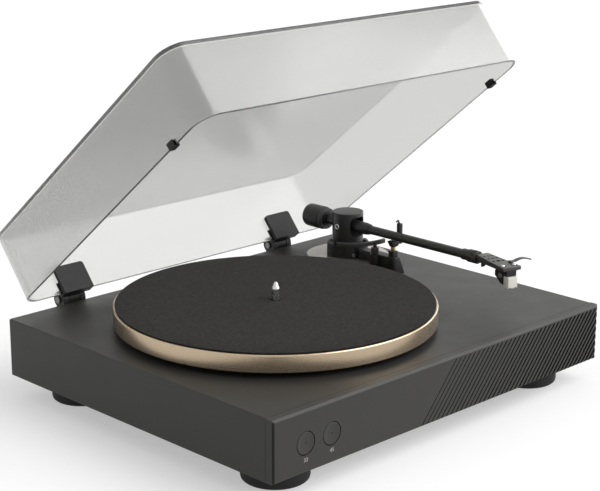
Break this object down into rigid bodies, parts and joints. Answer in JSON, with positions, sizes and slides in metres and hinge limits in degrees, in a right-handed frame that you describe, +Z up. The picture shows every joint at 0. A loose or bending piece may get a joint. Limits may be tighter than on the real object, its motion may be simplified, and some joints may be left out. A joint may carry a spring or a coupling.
{
  "type": "turntable",
  "caption": "Belt-drive turntable with a straight tonearm, clear hinged dust cover and ribbed front.",
  "frame": {"origin": "on the surface the feet stand on, in the middle of the outline with the cover open", "axes": "+Z up, +X to the right seen from the front, the front panel faces -Y"},
  "size_m": [0.432, 0.4, 0.3584],
  "materials": {
    "painted_board": "satin dark grey paint on board",
    "front_paint": "satin dark grey",
    "black_plastic": "matte black",
    "foot_rubber": "matte black",
    "gold_rim": "satin champagne gold",
    "felt": "charcoal felt",
    "steel": "bright",
    "brass": "bright",
    "board_green": "green board",
    "clear_cover": "clear acrylic",
    "grey_plate": "light warm grey",
    "satin_black": "satin black",
    "white_plastic": "white"
  },
  "bodies": {
    "base": {"plinth": "painted_board", "front_panel": "front_paint", "bottom_cover": "black_plastic", "foot_front_left": "foot_rubber", "foot_front_right": "foot_rubber", "foot_rear_left": "foot_rubber", "foot_rear_right": "foot_rubber", "bearing_housing": "brass", "drive_belt": "foot_rubber", "motor": "steel", "motor_mount": "foot_rubber", "circuit_board": "board_green", "switch_board": "board_green", "terminal_panel": "black_plastic", "signal_socket_left": "brass", "signal_socket_right": "brass", "ground_screw": "steel", "power_inlet": "black_plastic", "hinge_base_left": "black_plastic", "hinge_base_right": "black_plastic", "hinge_pin_left": "steel", "hinge_pin_right": "steel", "arm_base_plate": "grey_plate", "arm_base": "satin_black", "lift_cylinder": "satin_black", "arm_rest": "satin_black", "rest_screw": "brass"},
    "platter": {"platter": "gold_rim", "slip_mat": "felt", "platter_spindle": "steel"},
    "pulley": {"motor_pulley": "brass"},
    "button_33": {"button_33": "front_paint"},
    "button_45": {"button_45": "front_paint"},
    "cover": {"dust_cover": "clear_cover", "cover_bumper_left": "foot_rubber", "cover_bumper_right": "foot_rubber", "hinge_clip_left": "black_plastic", "hinge_clip_right": "black_plastic"},
    "arm_carrier": {"arm_housing": "satin_black", "arm_pillar": "steel", "pivot_screw_left": "steel", "pivot_screw_right": "steel"},
    "arm": {"pivot_axle": "steel", "pivot_block": "satin_black", "arm_tube": "satin_black", "counterweight_shaft": "satin_black", "headshell": "satin_black", "finger_lift": "satin_black", "cartridge": "black_plastic", "cartridge_screw_left": "steel", "cartridge_screw_right": "steel", "stylus": "white_plastic"},
    "lock_ring": {"shell_lock_ring": "satin_black"},
    "weight_sleeve": {"counterweight_sleeve": "black_plastic"},
    "counterweight": {"counterweight": "satin_black"},
    "force_dial": {"force_dial": "grey_plate"},
    "lift_bar": {"lift_bar": "satin_black"},
    "cue_lever": {"cue_lever": "satin_black"},
    "arm_clip": {"arm_clip": "satin_black"},
    "anti_skate_knob": {"anti_skate_knob": "satin_black"}
  },
  "joints": [
    {"name": "platter_spin", "type": "hinge", "parent": "base", "child": "platter", "pos_m": [-0.0455, -0.02451, 0.0765], "axis": [0, 0, -1], "continuous": true},
    {"name": "pulley_spin", "type": "hinge", "parent": "base", "child": "pulley", "pos_m": [-0.11282, 0.04281, 0.0765], "axis": [0, 0, -1], "continuous": true},
    {"name": "cover_hinge", "type": "hinge", "parent": "base", "child": "cover", "pos_m": [0, 0.16639, 0.0789], "axis": [-1, 0, 0], "range_deg": [-39.66, 12]},
    {"name": "arm_swing", "type": "hinge", "parent": "base", "child": "arm_carrier", "pos_m": [0.152, 0.07349, 0.1158], "axis": [0, 0, -1], "range_deg": [0, 45]},
    {"name": "arm_lift", "type": "hinge", "parent": "arm_carrier", "child": "arm", "pos_m": [0.152, 0.07349, 0.1158], "axis": [-1, 0, 0], "range_deg": [0, 2.63]},
    {"name": "cue_lever_turn", "type": "hinge", "parent": "base", "child": "cue_lever", "pos_m": [0.152, 0.03349, 0.0895], "axis": [-1, 0, 0], "range_deg": [0, 60.5]},
    {"name": "lift_bar_slide", "type": "slide", "parent": "base", "child": "lift_bar", "axis": [0, 0, 1], "range_m": [0, 0.00219]},
    {"name": "weight_turn", "type": "hinge", "parent": "weight_sleeve", "child": "counterweight", "pos_m": [0.152, 0.07349, 0.1158], "axis": [0, 1, 0], "range_deg": [-721, 721]},
    {"name": "weight_travel", "type": "slide", "parent": "arm", "child": "weight_sleeve", "axis": [0, 1, 0], "range_m": [-0.003, 0.003]},
    {"name": "dial_turn", "type": "hinge", "parent": "weight_sleeve", "child": "force_dial", "pos_m": [0.152, 0.07349, 0.1158], "axis": [0, 1, 0], "range_deg": [-180, 180]},
    {"name": "lock_ring_turn", "type": "hinge", "parent": "arm", "child": "lock_ring", "pos_m": [0.152, 0.07349, 0.1158], "axis": [0, -1, 0], "range_deg": [0, 90]},
    {"name": "clip_turn", "type": "hinge", "parent": "base", "child": "arm_clip", "pos_m": [0.1603, 0.00829, 0.1258], "axis": [0, 1, 0], "range_deg": [0, 40]},
    {"name": "anti_skate_turn", "type": "hinge", "parent": "base", "child": "anti_skate_knob", "pos_m": [0.152, 0.07349, 0.0904], "axis": [1, 0, 0], "range_deg": [0, 270]},
    {"name": "button_33_press", "type": "slide", "parent": "base", "child": "button_33", "axis": [0, 1, 0], "range_m": [0, 0.0015], "stiffness_N_per_m": 400},
    {"name": "button_45_press", "type": "slide", "parent": "base", "child": "button_45", "axis": [0, 1, 0], "range_m": [0, 0.0015], "stiffness_N_per_m": 400}
  ],
  "couplings": [
    {"joint": "pulley_spin", "follows": "platter_spin", "ratio": 15},
    {"joint": "arm_lift", "follows": "lift_bar_slide", "rad_per_m": 20.92},
    {"joint": "cue_lever_turn", "follows": "lift_bar_slide", "rad_per_m": 477},
    {"joint": "weight_turn", "follows": "weight_travel", "rad_per_m": 4188.8}
  ]
}
